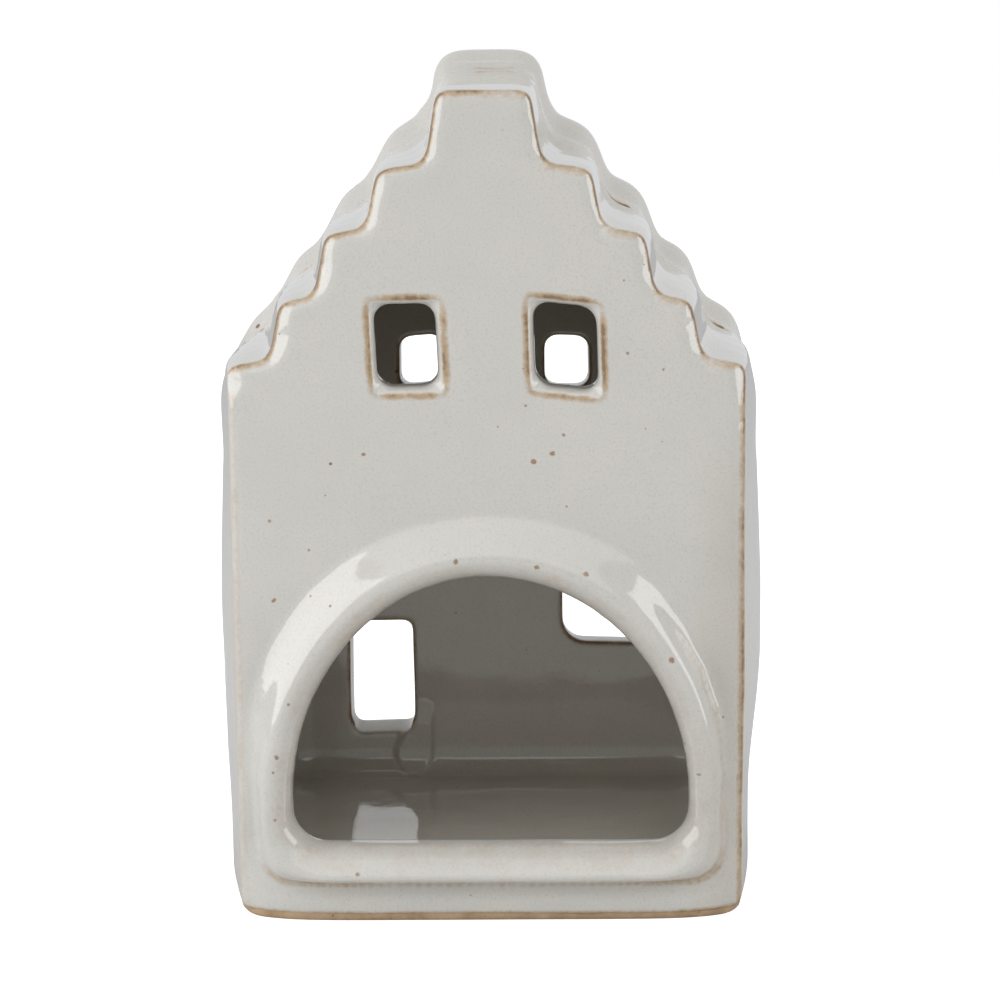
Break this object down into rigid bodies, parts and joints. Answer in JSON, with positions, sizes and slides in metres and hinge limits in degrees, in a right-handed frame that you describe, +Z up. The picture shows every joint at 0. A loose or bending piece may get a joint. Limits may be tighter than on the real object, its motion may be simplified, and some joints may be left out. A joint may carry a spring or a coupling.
{
  "type": "tealight house",
  "caption": "Glazed stoneware house for a tealight: stepped gables, small windows and an arched mouth with a rolled rim over an open chamber, on a bare clay foot.",
  "frame": {"origin": "middle of the footprint, at the height of the surface that the house stands on", "axes": "+Z up to the ridge, -Y out of the arched mouth, +X to the right of someone who looks into the mouth"},
  "size_m": [0.0938, 0.06, 0.1422],
  "materials": {
    "glaze": "glossy warm grey glaze, brown where it runs thin on the edges, with fine dark specks",
    "bare_clay": "matte unglazed tan stoneware"
  },
  "bodies": {
    "root": {"front_gable": "glaze", "back_gable": "glaze", "left_wall": "glaze", "right_wall": "glaze", "ridge_cap": "glaze", "left_step_1": "glaze", "left_step_2": "glaze", "left_step_3": "glaze", "right_step_1": "glaze", "right_step_2": "glaze", "right_step_3": "glaze", "floor_slab": "glaze", "arch_rim": "glaze", "foot_ring": "bare_clay"}
  },
  "joints": []
}
